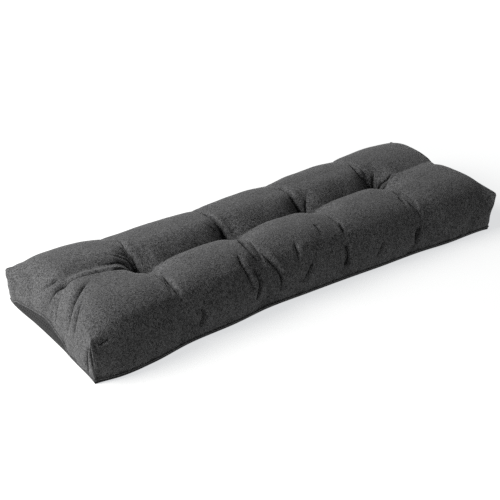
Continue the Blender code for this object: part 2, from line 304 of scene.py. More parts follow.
def main_creases():
    """The long valley through the tufts, and the creases that run from each tuft over both long sides."""
    top = BOXED_HEIGHT
    first, last = TUFTS[0].x, TUFTS[-1].x
    leftward = [(first, 0, top)] + [(x, y, top) for x, y in VALLEY_LEFT] + [VALLEY_FOOT]
    creases = [
        Crease("valley", 0.040, 0.040, 0.072, [(first, 0, top), (last, 0, top)]),
        Crease("valley left", 0.030, 0.003, 0.048, leftward),
        Crease("valley right", 0.036, 0.006, 0.070, [(last, 0, top), (HALF_LENGTH, 0, top)]),
    ]
    for tuft in TUFTS:
        for side, trough, crease in (
            (1, tuft.back_trough, tuft.back_crease),
            (-1, tuft.front_trough, tuft.front_crease),
        ):
            x, y = tuft.x + lean(side * HALF_WIDTH), side * HALF_WIDTH
            path = [(tuft.x, 0, top), (x, y, top), (x, y, CREASE_LOWEST)]
            creases.append(Crease("trough", trough, TROUGH_END, TROUGH_WIDTH, path))
            creases.append(Crease("crease", crease, CREASE_END, CREASE_WIDTH, path))
    return creases


def distance_to_path(points, path):
    """How far each point lies from a path, how far along it, from 0 to 1, and on which side.

    The side is a vector along the surface's normal for a point on the left, and against it on the right.
    """
    path = np.array(path, float)
    steps = np.diff(path, axis=0)
    lengths = np.linalg.norm(steps, axis=1)
    starts = np.concatenate([[0], np.cumsum(lengths)])
    nearest = np.full(len(points), np.inf)
    along = np.zeros(len(points))
    turned = np.zeros((len(points), 3))
    for start, step, length, before in zip(path, steps, lengths, starts):
        share = np.clip((points - start) @ step / length**2, 0, 1)
        offset = points - start - share[:, None] * step
        distance = np.linalg.norm(offset, axis=1)
        closer = distance < nearest
        nearest[closer] = distance[closer]
        along[closer] = (before + share[closer] * length) / starts[-1]
        turned[closer] = np.cross(step / length, offset[closer])
    return nearest, along, turned


def eased(table, across, name, value):
    """A smooth line through one column of a table, against another of its columns."""
    knots = np.array([getattr(row, across) for row in table])
    heights = np.array([getattr(row, name) for row in table])
    slopes = np.gradient(heights, knots)
    cell = np.clip(np.searchsorted(knots, value) - 1, 0, len(knots) - 2)
    width = knots[cell + 1] - knots[cell]
    s = np.clip((value - knots[cell]) / width, 0, 1)
    return (
        heights[cell] * (2 * s**3 - 3 * s**2 + 1)
        + slopes[cell] * width * (s**3 - 2 * s**2 + s)
        + heights[cell + 1] * (3 * s**2 - 2 * s**3)
        + slopes[cell + 1] * width * (s**3 - s**2)
    )


def rounded(edge, rise, roundness):
    """How far a point of a square edge pulls in and down to make it round, as shares of the rounded zone."""
    power = (1 - roundness) / roundness
    return edge * roundness * rise**power, rise * roundness * edge**power


def zone(distance, reach):
    """0 inside, rising to 1 at the block's face over the last reach before it."""
    return np.clip(1 + distance / reach, 0, 1)


def seam_height(x, y):
    """How high the base panel's seam runs above the floor."""
    left = np.interp(y, [row.y for row in END_OUTLINE], [row.left_seam for row in END_OUTLINE])
    right = np.interp(y, [row.y for row in END_OUTLINE], [row.right_seam for row in END_OUTLINE])
    at_end = HALF_LENGTH - 1e-4
    return np.where(x < -at_end, left, np.where(x > at_end, right, SIDE_SEAM))


def filled_form(block):
    """Moves points of the block's surface to the smooth filled form."""
    x, y, z = block.T
    u, v, t = x / HALF_LENGTH, y / HALF_WIDTH, z / BOXED_HEIGHT
    corner = np.abs(u) ** CORNER_ALONG * np.abs(v) ** CORNER_ACROSS
    roundness = ROUND + (CORNER_ROUND - ROUND) * corner
    side_in, side_down = rounded(zone(abs(y) - HALF_WIDTH, SIDE_SHOULDER), t, roundness)
    end_shoulder = np.where(x > 0, RIGHT_SHOULDER, LEFT_SHOULDER)
    end_in, end_down = rounded(zone(abs(x) - HALF_LENGTH, end_shoulder), t, roundness)
    end_down *= np.where(x > 0, RIGHT_DROP / SHOULDER_DROP, 1)
    foot = zone(-z, FOOT_RADIUS)
    foot_roundness = FOOT_ROUND * (1 - CORNER_FOOT_SHARPNESS * corner)
    foot_side_in, foot_side_up = rounded(zone(abs(y) - HALF_WIDTH, FOOT_RADIUS), foot, foot_roundness)
    foot_end_in, foot_end_up = rounded(zone(abs(x) - HALF_LENGTH, FOOT_RADIUS), foot, foot_roundness)
    front = (1 - t) * eased(OUTLINE, "x", "front_foot", x) + t * eased(OUTLINE, "x", "front_top", x)
    back = eased(OUTLINE, "x", "back", x)
    left = (1 - t) * eased(END_OUTLINE, "y", "left_foot", y) + t * eased(END_OUTLINE, "y", "left_top", y)
    right = (1 - t) * eased(END_OUTLINE, "y", "right_foot", y) + t * eased(END_OUTLINE, "y", "right_top", y)
    drawn_x = np.sign(x) * (end_shoulder * end_in + FOOT_RADIUS * foot_end_in)
    drawn_y = np.sign(y) * (SIDE_SHOULDER * side_in + FOOT_RADIUS * foot_side_in)
    new_x = left + (right - left) * (u + 1) / 2 - drawn_x
    new_y = front + (back - front) * (v + 1) / 2 - drawn_y
    front_loft, back_loft = eased(OUTLINE, "x", "front_loft", x), eased(OUTLINE, "x", "back_loft", x)
    height = BOXED_HEIGHT + (front_loft + (back_loft - front_loft) * np.clip(v + 0.5, 0, 1)) * (1 - corner)
    new_z = t * height - SHOULDER_DROP * (side_down + end_down - side_down * end_down)
    new_z += FOOT_RADIUS * (foot_side_up + foot_end_up - foot_side_up * foot_end_up)
    return np.stack([new_x, new_y, new_z], axis=1)


def pressed_in(block, creases):
    """How deep the tufts and the creases press each point of the block in, the deepest counting most."""
    total = np.zeros(len(block))
    on_top = zone(block[:, 2] - BOXED_HEIGHT, BOXED_HEIGHT / 2)
    for tuft in TUFTS:
        distance = np.hypot(block[:, 0] - tuft.x, block[:, 1])
        near = np.clip(1 - distance / TUFT_REACH, 0, 1)
        power = TUFT_POWER + TUFT_SKEW * block[:, 1] / np.maximum(distance, 1e-6)
        total += (TUFT_DEPTH * near**power * on_top) ** BLEND
    for crease in creases:
        distance, along, _ = distance_to_path(block, crease.path)
        deep = crease.start_depth + (crease.end_depth - crease.start_depth) * along**CREASE_FADE
        total += (deep * np.clip(1 - distance / crease.width, 0, 1) ** CREASE_POWER) ** BLEND
    return total ** (1 / BLEND) * np.clip(block[:, 2] / CREASE_FOOT, 0, 1)


def crowded(start, end, count):
    """Cuts between two lines of the block, closer together near each of them."""
    shares = [i / count for i in range(1, count + 1)]
    return [start + (end - start) * (s - CROWDING * np.sin(2 * np.pi * s) / (2 * np.pi)) for s in shares]


def lay_weave(mesh):
    """Lays the weave flat on each face from the front, the side or above, whichever it faces most."""
    weave = mesh.loops.layers.uv["weave"]
    for face in mesh.faces:
        flat = max(range(3), key=lambda axis: abs(face.normal[axis]))
        first, second = [(1, 2), (0, 2), (0, 1)][flat]
        for loop in face.loops:
            loop[weave].uv = (loop.vert.co[first], loop.vert.co[second] + flat)


def scored_block():
    """A block cut into cells on all its faces. Its UV map is in metres along each face's own weave."""
    mesh = bmesh.new()
    bmesh.ops.create_cube(mesh, size=1.0)
    bmesh.ops.scale(mesh, vec=(LENGTH, WIDTH, BOXED_HEIGHT), verts=mesh.verts)
    bmesh.ops.translate(mesh, vec=(0, 0, BOXED_HEIGHT / 2), verts=mesh.verts)
    lines = [-HALF_LENGTH] + [tuft.x for tuft in TUFTS] + [HALF_LENGTH]
    along = [x for a, b in zip(lines, lines[1:]) for x in crowded(a, b, CELLS_PER_BAY)]
    across = crowded(-HALF_WIDTH, 0, CELLS_PER_HALF) + crowded(0, HALF_WIDTH, CELLS_PER_HALF)
    up = [BOXED_HEIGHT * i / CELLS_UP for i in range(1, CELLS_UP)]
    cuts = [((x, 0, 0), (1, 0, 0)) for x in along[:-1]]
    cuts += [((0, y, 0), (0, 1, 0)) for y in across[:-1]]
    cuts += [((0, 0, z), (0, 0, 1)) for z in up]
    for place, normal in cuts:
        everything = mesh.verts[:] + mesh.edges[:] + mesh.faces[:]
        bmesh.ops.bisect_plane(mesh, geom=everything, plane_co=place, plane_no=normal)
    mesh.loops.layers.uv.new("weave")
    mesh.normal_update()
    lay_weave(mesh)
    return mesh


def laid_out(mesh):
    """The block's points, and the row of each up from the floor.

    The lower rows are set to the base panel's seam, and the cells lean with the creases.
    """
    block = np.array([vertex.co for vertex in mesh.verts])
    rows = np.rint(block[:, 2] / BOXED_HEIGHT * CELLS_UP).astype(int)
    seam = seam_height(block[:, 0], block[:, 1])
    above = seam + (BOXED_HEIGHT - seam) * (rows - SEAM_ROW) / (CELLS_UP - SEAM_ROW)
    lower = [rows == row for row in range(SEAM_ROW + 1)]
    heights = np.select(lower, [0, seam / 2, seam - SEAM_STEP, seam], above)
    block[:, 2] = np.where(rows == CELLS_UP, BOXED_HEIGHT, heights)
    block[:, 0] += lean(block[:, 1]) * (1 - (block[:, 0] / HALF_LENGTH) ** LEAN_FADE)
    return block, rows


def formed_cover():
    """The whole outside of the cushion and its base panel, and each point's row up from the floor."""
    mesh = scored_block()
    block, rows = laid_out(mesh)
    for vertex, place in zip(mesh.verts, filled_form(block)):
        vertex.co = place
    mesh.normal_update()
    for vertex, depth in zip(mesh.verts, pressed_in(block, main_creases())):
        vertex.co -= vertex.normal * depth
    mesh.normal_update()
    places = np.array([vertex.co for vertex in mesh.verts])
    middle = (places.min(axis=0) + places.max(axis=0)) / 2
    bmesh.ops.translate(mesh, vec=(-middle[0], -middle[1], 0), verts=mesh.verts)
    return mesh, rows


def join_flat_base(mesh):
    """Joins the flat cells of the underside into one face."""
    lowest = min(vertex.co.z for vertex in mesh.verts)
    flat = [face for face in mesh.faces if all(vertex.co.z < lowest + 1e-6 for vertex in face.verts)]
    bmesh.ops.dissolve_faces(mesh, faces=flat, use_verts=False)


def add_object(name, mesh, material):
    data = bpy.data.meshes.new(name)
    mesh.to_mesh(data)
    mesh.free()
    data.shade_smooth()
    data.materials.append(material)
    made = bpy.data.objects.new(name, data)
    bpy.context.scene.collection.objects.link(made)
    return made


def get_points(data):
    points = np.zeros(len(data.vertices) * 3)
    data.vertices.foreach_get("co", points)
    return points.reshape(-1, 3)


def set_points(data, points):
    data.vertices.foreach_set("co", points.ravel())
    data.update()


def apply_modifiers(made):
    """Turns what the modifiers make into the object's own mesh."""
    shown = made.evaluated_get(bpy.context.evaluated_depsgraph_get())
    data = bpy.data.meshes.new_from_object(shown)
    old = made.data
    made.modifiers.clear()
    made.data = data
    bpy.data.meshes.remove(old)


FOLD_GAIN = 1.5
FOLD_POWER = 1.5
PINCH_WIDTH = 0.0034
PINCH_SHARE = 0.75
FINER_REACHES = (0.0075, 0.0040)
LINE_STEP = 0.004
FOLD_REACH = 4
FADE_OUT = 2.5
FADE_IN = 3
# A fold that starts in a tuft, below this height, comes in sooner.
PIT_LEVEL = 0.085
PIT_FADE_IN = 8
LIP_START = 0.5
LIP_FALL = 1.5


def smooth(share):
    """0 up to 0, 1 from 1 on, and eased between."""
    share = np.clip(share, 0, 1)
    return share * share * (3 - 2 * share)


def laid_on(tree, path):
    """A smooth line through the path's points, laid on the surface."""
    path = np.array(path)
    padded = np.vstack([2 * path[0] - path[1], path, 2 * path[-1] - path[-2]])
    line = []
    for a, b, c, d in zip(padded, padded[1:], padded[2:], padded[3:]):
        count = max(1, round(float(np.linalg.norm(c - b)) / LINE_STEP))
        for i in range(count):
            s = i / count
            bend, twist = 2 * a - 5 * b + 4 * c - d, 3 * b - a - 3 * c + d
            line.append(0.5 * (2 * b + (c - a) * s + bend * s**2 + twist * s**3))
    line.append(path[-1])
    return np.array([tree.find_nearest(Vector(place))[0] for place in line])


def finer_along(mesh, lines, reach):
    """Splits the cells near the lines in four."""
    tree = KDTree(sum(len(line) for line in lines))
    for place in np.concatenate(lines):
        tree.insert(Vector(place), 0)
    tree.balance()
    near = [face for face in mesh.faces if tree.find(face.calc_center_median())[2] < reach]
    edges = list({edge for face in near for edge in face.edges})
    bmesh.ops.subdivide_edges(mesh, edges=edges, cuts=1, use_grid_fill=True)


def press_folds(mesh, folds):
    """Presses the folds into the cover.

    Each is a soft groove of its own width, pinched to a line in its middle, with a soft lip on one side.
    """
    tree = BVHTree.FromBMesh(mesh)
    lines = [laid_on(tree, fold.path) for fold in folds]
    for reach in FINER_REACHES:
        finer_along(mesh, lines, reach)
    mesh.normal_update()
    points = np.array([vertex.co for vertex in mesh.verts])
    normals = np.array([vertex.normal for vertex in mesh.verts])
    moved = np.zeros(len(points))
    for fold, line in zip(folds, lines):
        reach = FOLD_REACH * fold.width
        close = np.all((points > line.min(axis=0) - reach) & (points < line.max(axis=0) + reach), axis=1)
        near = np.nonzero(close)[0]
        distance, along, turned = distance_to_path(points[near], line)
        side = np.sign(np.einsum("ij,ij->i", turned, normals[near]))
        fade_in = PIT_FADE_IN if line[0][2] < PIT_LEVEL else FADE_IN
        ends = smooth(FADE_OUT * (1 - along)) * smooth(fade_in * along)
        deep = FOLD_GAIN * ends * (fold.end_depth + (fold.start_depth - fold.end_depth) * (1 - along))
        groove = deep * np.clip(1 - distance / fold.width, 0, 1) ** FOLD_POWER
        pinch = PINCH_SHARE * deep * np.clip(1 - distance / PINCH_WIDTH, 0, 1)
        over = np.clip(distance / fold.width - LIP_START, 0, None)
        lip = FOLD_GAIN * fold.lip * side * ends * over * np.exp(1 - over)
        lip *= np.clip(2 - distance / fold.width / LIP_FALL, 0, 1)
        moved[near] += np.maximum(lip, 0) - groove - pinch
    for vertex, normal, step in zip(mesh.verts, normals, moved):
        vertex.co += Vector(normal * step)


# The filling pushes the cover up unevenly, and the base seam gathers it into small puckers.
LUMP = 0.0016
LUMP_SIZE = (0.052, 0.060, 0.070)
LUMP_RISE = 0.02
PUCKER = 0.0013
PUCKER_SIZE = (0.017, 0.017, 0.090)
PUCKER_RISE = 0.006
PUCKER_REACH = 0.035


def make_uneven(mesh):
    for vertex in mesh.verts:
        place = vertex.co
        above = place.z - SIDE_SEAM
        if above <= 0:
            continue
        lump = noise.noise(Vector([a / b for a, b in zip(place, LUMP_SIZE)]))
        pucker = noise.noise(Vector([a / b for a, b in zip(place, PUCKER_SIZE)]))
        gathered = min(1.0, above / PUCKER_RISE) * math.exp(-above / PUCKER_REACH)
        vertex.co += vertex.normal * (LUMP * lump * min(1.0, above / LUMP_RISE) + PUCKER * pucker * gathered)


# Materials


class Nodes:
    """A short way to write a material's node tree."""

    def __init__(self, name):
        self.material = bpy.data.materials.new(name)
        self.material.use_nodes = True
        self.tree = self.material.node_tree
        self.shader = self.tree.nodes["Principled BSDF"]

    def add(self, kind, **settings):
        node = self.tree.nodes.new(kind)
        for name, value in settings.items():
            setattr(node, name, value)
        return node

    def link(self, source, target):
        self.tree.links.new(source, target)

    def put(self, node, **values):
        for name, value in values.items():
            number = name[1:]
            socket = node.inputs[int(number) if number.isdigit() else name.replace("_", " ")]
            if hasattr(value, "is_output") and value.is_output:
                self.link(value, socket)
            else:
                socket.default_value = value
        return node

    def maths(self, operation, first, second=0.0):
        node = self.add("ShaderNodeMath", operation=operation)
        self.put(node, s0=first, s1=second)
        return node.outputs[0]

    def mix(self, share, first, second):
        node = self.add("ShaderNodeMix", data_type="RGBA")
        self.put(node, s0=share, s6=first, s7=second)
        return node.outputs[2]

    def uv(self):
        return self.add("ShaderNodeUVMap", uv_map="weave").outputs[0]

    def noise(self, vector, scale, detail, roughness):
        node = self.add("ShaderNodeTexNoise")
        self.put(node, Vector=vector, Scale=scale, Detail=detail, Roughness=roughness)
        return node.outputs[0]


BLUER = 1.01


def grey(level):
    return (level, level, level * BLUER, 1.0)


THREAD_PITCH = 0.0013
THREAD_STREAK = 0.006
SLUB_PITCH = 0.0019
SLUB_STREAK = 0.0050
WEAVE_CONTRAST = 1.3
# The scale, detail and roughness of each noise.
STREAK_NOISE = (1.0, 3.0, 0.7)
FIBRE_NOISE = (700.0, 2.0, 0.6)
WEAR_NOISE = (9.0, 3.0, 0.5)
TWIST_NOISE = (2500.0, 1.0, 0.5)
FLOOR_NOISE = (3.0, 2.0, 0.5)
NEXT_THREAD = 7.31
MOTTLING = 0.6
WEAR = 0.22
DULL_CLOTH = 0.15


def streaks(n, run, count, pitch, length):
    """Darker and lighter lengths of each thread, the threads lying side by side at the pitch."""
    number = n.maths("FLOOR", n.maths("DIVIDE", count, pitch))
    place = n.add("ShaderNodeCombineXYZ")
    n.put(place, X=n.maths("DIVIDE", run, length), Y=n.maths("MULTIPLY", number, NEXT_THREAD))
    return n.maths("SUBTRACT", n.noise(place.outputs[0], *STREAK_NOISE), 0.5)


def heather_cloth(name, dark, light):
    """Plain weave of mottled threads: each thread is darker or lighter in streaks along its own length."""
    n = Nodes(name)
    uv = n.uv()
    split = n.add("ShaderNodeSeparateXYZ")
    n.put(split, Vector=uv)
    across, along = split.outputs[0], split.outputs[1]
    turns = 2 * math.pi / THREAD_PITCH
    waves = [n.maths("COSINE", n.maths("MULTIPLY", count, turns)) for count in (across, along)]
    crossing = n.maths("MULTIPLY", waves[0], waves[1])
    over = n.maths("GREATER_THAN", crossing, 0.0)
    thread_tone = n.add("ShaderNodeMix", data_type="FLOAT")
    n.put(
        thread_tone,
        s0=over,
        s2=streaks(n, across, along, THREAD_PITCH, THREAD_STREAK),
        s3=streaks(n, along, across, THREAD_PITCH, THREAD_STREAK),
    )
    slubs = n.maths(
        "ADD",
        streaks(n, across, along, SLUB_PITCH, SLUB_STREAK),
        streaks(n, along, across, SLUB_PITCH, SLUB_STREAK),
    )
    mottled = n.maths("SUBTRACT", n.noise(uv, *FIBRE_NOISE), 0.5)
    threads = n.maths("ADD", thread_tone.outputs[0], slubs)
    varied = n.maths("ADD", threads, n.maths("MULTIPLY", mottled, MOTTLING))
    tone = n.maths("ADD", n.maths("MULTIPLY", varied, WEAVE_CONTRAST), 0.5)
    ramp = n.add("ShaderNodeValToRGB")
    n.put(ramp, Fac=tone)
    ramp.color_ramp.elements[0].position = 0.25
    ramp.color_ramp.elements[0].color = grey(dark)
    ramp.color_ramp.elements[1].position = 0.75
    ramp.color_ramp.elements[1].color = grey(light)
    wear = n.noise(uv, *WEAR_NOISE)
    faded = n.mix(n.maths("MULTIPLY", wear, WEAR), ramp.outputs[0], grey((dark + light) / 2))
    n.put(n.shader, Base_Color=faded, Metallic=0.0)
    n.put(n.shader, Roughness=n.maths("ADD", n.maths("MULTIPLY", tone, 0.15), 0.78))
    n.shader.inputs["Specular IOR Level"].default_value = DULL_CLOTH
    n.shader.inputs["Sheen Weight"].default_value = 0.10
    n.shader.inputs["Sheen Roughness"].default_value = 0.45
    weave = n.maths("ADD", n.maths("ABSOLUTE", crossing), mottled)
    bump = n.add("ShaderNodeBump")
    n.put(bump, Strength=0.35, Distance=0.0006, Height=weave)
    n.put(n.shader, Normal=bump.outputs[0])
    return n.material


DOT_PITCH = 0.0085
DOT_ROW = DOT_PITCH * 0.866
DOT_INNER = 0.34
DOT_OUTER = 0.40


def dotted_cloth(name, ground, dot):
    """Coarse dark cloth with small raised grip dots in a staggered grid."""
    n = Nodes(name)
    uv = n.uv()
    split = n.add("ShaderNodeSeparateXYZ")
    n.put(split, Vector=uv)
    row = n.maths("DIVIDE", split.outputs[1], DOT_ROW)
    stagger = n.maths("MULTIPLY", n.maths("MODULO", n.maths("FLOOR", row), 2.0), 0.5)
    shifted = n.maths("ADD", n.maths("DIVIDE", split.outputs[0], DOT_PITCH), stagger)
    from_middle = n.add("ShaderNodeCombineXYZ")
    n.put(
        from_middle,
        X=n.maths("SUBTRACT", n.maths("FRACT", shifted), 0.5),
        Y=n.maths("SUBTRACT", n.maths("FRACT", row), 0.5),
    )
    length = n.add("ShaderNodeVectorMath", operation="LENGTH")
    n.put(length, s0=from_middle.outputs[0])
    inside = n.add("ShaderNodeMapRange", interpolation_type="SMOOTHSTEP")
    n.put(inside, Value=length.outputs[1])
    inside.inputs["From Min"].default_value = DOT_INNER
    inside.inputs["From Max"].default_value = DOT_OUTER
    inside.inputs["To Min"].default_value = 1.0
    inside.inputs["To Max"].default_value = 0.0
    grain = n.noise(uv, *FIBRE_NOISE)
    cloth = n.mix(grain, grey(ground * 0.5), grey(ground * 1.6))
    n.put(n.shader, Base_Color=n.mix(inside.outputs[0], cloth, grey(dot)), Metallic=0.0)
    n.put(n.shader, Roughness=n.maths("SUBTRACT", 0.9, n.maths("MULTIPLY", inside.outputs[0], 0.35)))
    n.shader.inputs["Specular IOR Level"].default_value = DULL_CLOTH
    relief = n.maths("ADD", n.maths("MULTIPLY", grain, 0.35), inside.outputs[0])
    bump = n.add("ShaderNodeBump")
    n.put(bump, Strength=0.5, Distance=0.0009, Height=relief)
    n.put(n.shader, Normal=bump.outputs[0])
    return n.material


def thread(name, level):
    """Twisted sewing thread."""
    n = Nodes(name)
    place = n.add("ShaderNodeTexCoord").outputs["Object"]
    twist = n.noise(place, *TWIST_NOISE)
    n.put(n.shader, Base_Color=n.mix(twist, grey(level * 0.6), grey(level * 1.4)), Metallic=0.0)
    n.put(n.shader, Roughness=n.maths("ADD", n.maths("MULTIPLY", twist, 0.2), 0.6))
    return n.material


# Pieces


CORNER_SEAM = 0.0016
CORNER_SEAM_WIDTH = 0.0045


def corner_lines(mesh, rows):
    """The four upright corner edges of the form, each from its ear down to the base seam."""
    lines = []
    for sx in (-1, 1):
        for sy in (-1, 1):
            line = []
            for row in range(CELLS_UP, SEAM_ROW, -1):
                level = [vertex.co for vertex, own in zip(mesh.verts, rows) if own == row]
                line.append(tuple(max(level, key=lambda place: sx * place.x + sy * place.y)))
            lines.append(line)
    return lines


def corner_folds(lines):
    return [Fold("corner seam", CORNER_SEAM, CORNER_SEAM, CORNER_SEAM_WIDTH, 0.0, line) for line in lines]


# The cover is cut a little larger than the form, and the filling presses it out from inside until it settles.
SPARE_CLOTH = 0.035
FILLING_PRESSURE = 4.0
LAST_FRAME = 20
MOST_MOVED = 0.0040
TUFT_STITCH = 0.010
CLOTH = {
    "quality": 6,
    "mass": 0.25,
    "tension_stiffness": 40,
    "compression_stiffness": 40,
    "shear_stiffness": 15,
    "bending_stiffness": 0.4,
    "use_pressure": True,
    "uniform_pressure_force": FILLING_PRESSURE,
    "shrink_min": -SPARE_CLOTH,
    "vertex_group_mass": "held",
}


def held_points(mesh, rows):
    """How firmly each point is held: by the base seam, the corner seams and the stitches of the tufts."""
    mesh.verts.ensure_lookup_table()
    places = np.array([vertex.co for vertex in mesh.verts])
    held = (rows <= SEAM_ROW).astype(float)
    for tuft in TUFTS:
        away = np.hypot(places[:, 0] - tuft.x, places[:, 1])
        held = np.maximum(held, (away < TUFT_STITCH) & (places[:, 2] > BOXED_HEIGHT / 3))
    for line in corner_lines(mesh, rows):
        for corner in line:
            held[np.linalg.norm(places - corner, axis=1) < 1e-5] = 1
    return held


def settle(made, held):
    """Lets the cover settle under the filling's pressure, each point moving by a few millimetres."""
    before = get_points(made.data)
    group = made.vertex_groups.new(name="held")
    group.add([int(i) for i in np.nonzero(held)[0]], 1.0, "REPLACE")
    cloth = made.modifiers.new("cloth", "CLOTH")
    for name, value in CLOTH.items():
        setattr(cloth.settings, name, value)
    cloth.settings.effector_weights.gravity = 0
    cloth.collision_settings.use_collision = False
    cloth.point_cache.frame_start = 1
    cloth.point_cache.frame_end = LAST_FRAME
    scene = bpy.context.scene
    for number in range(1, LAST_FRAME + 1):
        scene.frame_set(number)
    shown = made.evaluated_get(bpy.context.evaluated_depsgraph_get())
    moved = get_points(shown.data) - before
    made.modifiers.clear()
    made.vertex_groups.clear()
    scene.frame_set(1)
    length = np.maximum(np.linalg.norm(moved, axis=1), 1e-9)
    share = MOST_MOVED * np.tanh(length / MOST_MOVED) / length
    set_points(made.data, before + moved * share[:, None])


def make_cover(material):
    mesh, rows = formed_cover()
    corners = corner_lines(mesh, rows)
    held = held_points(mesh, rows)
    for vertex, row in zip(mesh.verts, rows):
        if row < SEAM_ROW:
            vertex.co -= vertex.normal * INSET * vertex.calc_shell_factor()
    mesh.normal_update()
    cover = add_object("cushion_cover", mesh, material)
    settle(cover, held)
    cover.modifiers.new("finer", "SUBSURF").levels = 1
    apply_modifiers(cover)
    finer = bmesh.new()
    finer.from_mesh(cover.data)
    join_flat_base(finer)
    finer.normal_update()
    make_uneven(finer)
    finer.normal_update()
    press_folds(finer, FOLDS + hidden_folds() + corner_folds(corners))
    finer.to_mesh(cover.data)
    finer.free()
    cover.data.shade_smooth()
    return cover, corners


def make_base(material):
    """The base cloth: flat under the cushion and turned up to its seam."""
    mesh, rows = formed_cover()
    high = [vertex for vertex, row in zip(mesh.verts, rows) if row >= SEAM_ROW]
    bmesh.ops.delete(mesh, geom=high, context="VERTS")
    mesh.normal_update()
    lay_weave(mesh)
    base = add_object("base_cloth", mesh, material)
    sheet = base.modifiers.new("sheet", "SOLIDIFY")
    sheet.thickness = SHEET
    sheet.offset = -1
    sheet.use_even_offset = True
    apply_modifiers(base)
    return base


def along_loop(mesh, row_number, rows):
    """The points of one row of the form, in order round the cushion, with their outward normals."""
    mesh.verts.ensure_lookup_table()
    chosen = {vertex.index for vertex, row in zip(mesh.verts, rows) if row == row_number}
    start = mesh.verts[min(chosen)]
    ordered, previous = [start], None
    while True:
        here = ordered[-1]
        following = [
            edge.other_vert(here)
            for edge in here.link_edges
            if edge.other_vert(here).index in chosen and edge.other_vert(here) != previous
        ]
        previous = here
        if not following or following[0] == start:
            break
        ordered.append(following[0])
    return np.array([vertex.co for vertex in ordered]), np.array([vertex.normal for vertex in ordered])


FLATNESS = 0.8


def swept(mesh, points, normals, radius, sides, closed, uv_layer):
    """A thin tube along points, flattened a little against the surface."""
    count = len(points)
    forward = np.roll(points, -1, axis=0) - np.roll(points, 1, axis=0)
    if not closed:
        forward[0], forward[-1] = points[1] - points[0], points[-1] - points[-2]
    forward /= np.linalg.norm(forward, axis=1)[:, None]
    beside = np.cross(forward, normals)
    beside /= np.linalg.norm(beside, axis=1)[:, None]
    outward = np.cross(beside, forward)
    rings = []
    for place, out, across in zip(points, outward, beside):
        ring = []
        for i in range(sides):
            turn = 2 * math.pi * i / sides
            around = math.cos(turn) * out * FLATNESS + math.sin(turn) * across
            ring.append(mesh.verts.new(Vector(place + radius * around)))
        rings.append(ring)
    travelled = 0.0
    for i in range(count if closed else count - 1):
        following = (i + 1) % count
        step = float(np.linalg.norm(points[following] - points[i]))
        for j in range(sides):
            k = (j + 1) % sides
            face = mesh.faces.new((rings[i][j], rings[following][j], rings[following][k], rings[i][k]))
            round_it = 2 * math.pi * radius / sides
            corners = ((travelled, j), (travelled + step, j), (travelled + step, j + 1), (travelled, j + 1))
            for loop, (run, turn) in zip(face.loops, corners):
                loop[uv_layer].uv = (run, turn * round_it)
        travelled += step
    if not closed:
        mesh.faces.new(rings[0])
        mesh.faces.new(list(reversed(rings[-1])))


SEAM_RADIUS = 0.0015
SEAM_SIDES = 6
SEAM_LIFT = 0.0004


def make_seam(material):
    """The turned seam allowance that shows as a fine raised edge where the base cloth meets the sides."""
    mesh, rows = formed_cover()
    points, normals = along_loop(mesh, SEAM_ROW, rows)
    mesh.free()
    made = bmesh.new()
    layer = made.loops.layers.uv.new("weave")
    swept(made, points + normals * SEAM_LIFT, normals, SEAM_RADIUS, SEAM_SIDES, True, layer)
    bmesh.ops.recalc_face_normals(made, faces=made.faces)
    return add_object("base_seam", made, material)


STITCH_PITCH = 0.0042
STITCH_LENGTH = 0.0026
STITCH_RADIUS = 0.00045
STITCH_SIDES = 5
STITCH_SHARES = (0, 0.5, 1)
STITCH_RISES = (0.2, 0.9, 0.2)
EAR_CLEARANCE = 0.006
# A short seam that closes the left end's panel beside the front corner, and how far the base seam's stitches
# lie above it.
END_STITCHES = [(-0.613, -0.196, 0.060), (-0.613, -0.180, 0.060), (-0.613, -0.164, 0.061)]
BASE_STITCH_RISE = 0.004


def add_stitches(made, layer, tree, line, closed):
    """Short stitches along a line, each lying on the surface that the tree holds."""
    line = np.array(line)
    if closed:
        line = np.vstack([line, line[:1]])
    reached = np.concatenate([[0], np.cumsum(np.linalg.norm(np.diff(line, axis=0), axis=1))])
    for start in np.arange(EAR_CLEARANCE, reached[-1] - EAR_CLEARANCE, STITCH_PITCH):
        points, normals = [], []
        for share, rise in zip(STITCH_SHARES, STITCH_RISES):
            run = start + STITCH_LENGTH * share
            place = Vector([np.interp(run, reached, line[:, axis]) for axis in range(3)])
            at, normal, _, _ = tree.find_nearest(place)
            points.append(np.array(at + normal * STITCH_RADIUS * rise))
            normals.append(np.array(normal))
        points, normals = np.array(points), np.array(normals)
        swept(made, points, normals, STITCH_RADIUS, STITCH_SIDES, False, layer)


def make_stitches(material, cover, corners):
    """The stitches of the four corner seams, of the short seam on the left end and of the base seam."""
    surface = bmesh.new()
    surface.from_mesh(cover.data)
    tree = BVHTree.FromBMesh(surface)
    surface.free()
    made = bmesh.new()
    layer = made.loops.layers.uv.new("weave")
    for line in corners:
        add_stitches(made, layer, tree, line, False)
    add_stitches(made, layer, tree, END_STITCHES, False)
    mesh, rows = formed_cover()
    points, normals = along_loop(mesh, SEAM_ROW, rows)
    mesh.free()
    above = points + np.array([0, 0, BASE_STITCH_RISE])
    add_stitches(made, layer, tree, above, True)
    bmesh.ops.recalc_face_normals(made, faces=made.faces)
    return add_object("stitches", made, material)


# The camera, the light and the floor

AZIMUTH = math.radians(-35.889)
ELEVATION = math.radians(29.041)
ROLL = math.radians(-0.213)
DISTANCE = 2.4036 * LENGTH
SIDEWAYS = -0.0312 * LENGTH
UPWARDS = 0.0233 * LENGTH
FOCAL_PIXELS = 1151.2
PICTURE = 500
SENSOR = 36.0
CENTRING = Vector((0.00071, 0.00513, 0))


